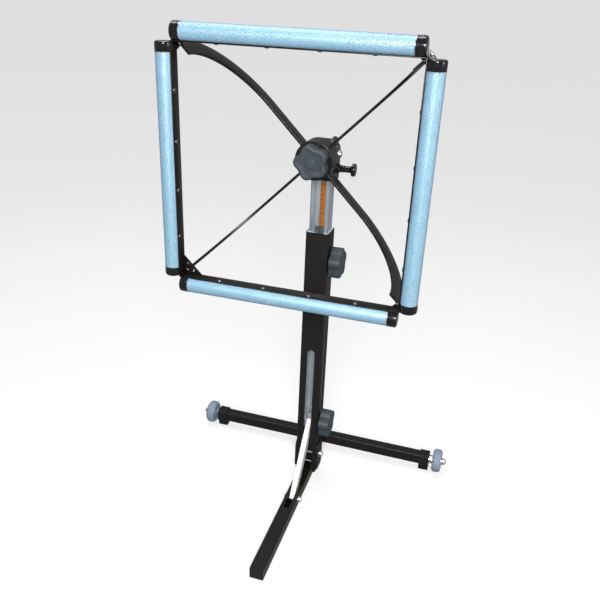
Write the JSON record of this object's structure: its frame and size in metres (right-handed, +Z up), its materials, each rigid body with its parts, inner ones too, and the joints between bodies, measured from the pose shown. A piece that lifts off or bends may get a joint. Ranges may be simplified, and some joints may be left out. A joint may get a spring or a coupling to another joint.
{
  "type": "adjustable work-frame floor stand",
  "caption": "Open square frame of patterned tubes on bowed cross arms, tilting and turning on a height-adjustable mast with a folding front leg, rear crossbar and tilt-back wheels.",
  "frame": {"origin": "on the floor under the centre of the mast, on the underside of the front leg", "axes": "+X to the right, -Y to the front where the leg and the frame are, +Z up"},
  "size_m": [0.658, 0.5015, 1.0442],
  "materials": {
    "black_crinkle_paint": "fine crinkle",
    "black_satin_paint": "satin",
    "bright_plated_tube": "brushed bright",
    "zinc_fasteners": "zinc plated",
    "knob_plastic": "moulded, fine grain",
    "plunger_plastic": "gloss",
    "cap_plastic": "gloss",
    "patterned_sleeve": "blue diamond lattice",
    "core_tube": "mill",
    "scale_paper": "printed scale",
    "smoked_cursor": "smoked",
    "glide_nylon": "nylon",
    "galvanised_slider": "galvanised",
    "white_brace": "gloss white",
    "shoe_rubber": "matte",
    "wheel_rubber": "grey, non-marking"
  },
  "bodies": {
    "base": {"outer_mast": "black_crinkle_paint", "mast_glide": "glide_nylon", "scale_cursor": "smoked_cursor", "stop_screw": "zinc_fasteners", "clamp_boss": "black_crinkle_paint", "rear_spine": "black_satin_paint", "crossbar": "black_satin_paint", "crossbar_plugs": "cap_plastic", "rubber_shoes": "shoe_rubber", "axle_bolts": "zinc_fasteners", "wheel_spacers": "zinc_fasteners", "axle_nuts": "zinc_fasteners", "hinge_cheeks": "black_crinkle_paint", "hinge_bolt": "zinc_fasteners", "hinge_nut": "zinc_fasteners", "hinge_spacers": "glide_nylon"},
    "sliding_mast": {"inner_mast": "bright_plated_tube", "inner_mast_foot": "glide_nylon", "height_scale": "scale_paper", "mast_head": "black_satin_paint", "tilt_bolt": "zinc_fasteners", "tilt_nut": "zinc_fasteners", "friction_washer": "glide_nylon", "plunger_housing": "black_satin_paint", "plunger_spring": "zinc_fasteners"},
    "index_plunger": {"plunger_pin": "zinc_fasteners", "plunger_knob": "plunger_plastic"},
    "tilting_head": {"tilt_barrel": "black_satin_paint", "index_disc": "black_satin_paint", "spindle": "zinc_fasteners"},
    "work_frame": {"hub_drum": "black_satin_paint", "cross_arm_falling": "black_satin_paint", "cross_arm_rising": "black_satin_paint", "frame_straps": "black_satin_paint", "corner_gussets": "black_satin_paint", "gusset_screws": "zinc_fasteners", "strap_screws": "zinc_fasteners", "tube_cores": "core_tube", "patterned_sleeve_right": "patterned_sleeve", "patterned_sleeve_top": "patterned_sleeve", "patterned_sleeve_left": "patterned_sleeve", "patterned_sleeve_bottom": "patterned_sleeve", "tube_caps": "cap_plastic", "cap_set_screws": "zinc_fasteners"},
    "frame_clamp": {"frame_knob": "knob_plastic"},
    "height_clamp": {"height_knob": "knob_plastic", "height_knob_stud": "zinc_fasteners", "height_knob_pad": "glide_nylon"},
    "brace_slider": {"strut_slider": "galvanised_slider", "strut_pivot_bolt": "zinc_fasteners", "clamp_washer": "zinc_fasteners"},
    "brace": {"brace_strut": "white_brace"},
    "brace_clamp": {"brace_knob": "knob_plastic"},
    "folding_leg": {"front_leg": "black_satin_paint", "leg_end_cap": "cap_plastic", "leg_hinge_ears": "black_satin_paint", "leg_pin_bolt": "zinc_fasteners", "leg_pin_nut": "zinc_fasteners"},
    "left_wheel": {"wheel_left": "wheel_rubber"},
    "right_wheel": {"wheel_right": "wheel_rubber"}
  },
  "joints": [
    {"name": "mast_height", "type": "slide", "parent": "base", "child": "sliding_mast", "axis": [0, 0, 1], "range_m": [-0.1, 0.06]},
    {"name": "head_tilt", "type": "hinge", "parent": "sliding_mast", "child": "tilting_head", "pos_m": [0, 0, 0.8], "axis": [-1, 0, 0], "range_deg": [0, 90]},
    {"name": "frame_spin", "type": "hinge", "parent": "tilting_head", "child": "work_frame", "pos_m": [0, -0.06, 0.8], "axis": [0, -1, 0], "continuous": true},
    {"name": "frame_knob_turn", "type": "hinge", "parent": "tilting_head", "child": "frame_clamp", "pos_m": [0, -0.09, 0.8], "axis": [0, -1, 0], "continuous": true},
    {"name": "height_knob_turn", "type": "hinge", "parent": "base", "child": "height_clamp", "pos_m": [0.03, 0, 0.569], "axis": [1, 0, 0], "continuous": true},
    {"name": "plunger_pull", "type": "slide", "parent": "sliding_mast", "child": "index_plunger", "axis": [1, 0, 0], "range_m": [0, 0.008], "stiffness_N_per_m": 900},
    {"name": "leg_fold", "type": "hinge", "parent": "base", "child": "folding_leg", "pos_m": [0, 0, 0.06], "axis": [-1, 0, 0], "range_deg": [0, 80]},
    {"name": "slider_travel", "type": "slide", "parent": "base", "child": "brace_slider", "axis": [0, 0, 1], "range_m": [0, 0.19405]},
    {"name": "brace_swing", "type": "hinge", "parent": "brace_slider", "child": "brace", "pos_m": [0, 0, 0.157], "axis": [1, 0, 0], "range_deg": [0, 20.73]},
    {"name": "brace_knob_turn", "type": "hinge", "parent": "brace_slider", "child": "brace_clamp", "pos_m": [0.03, 0, 0.157], "axis": [1, 0, 0], "continuous": true},
    {"name": "left_wheel_spin", "type": "hinge", "parent": "base", "child": "left_wheel", "pos_m": [-0.306, 0.112, 0.031], "axis": [1, 0, 0], "continuous": true},
    {"name": "right_wheel_spin", "type": "hinge", "parent": "base", "child": "right_wheel", "pos_m": [0.306, 0.112, 0.031], "axis": [1, 0, 0], "continuous": true}
  ],
  "couplings": [
    {"joint": "slider_travel", "follows": "leg_fold", "m_per_rad": 0.13891},
    {"joint": "brace_swing", "follows": "leg_fold", "ratio": 0.25856}
  ]
}
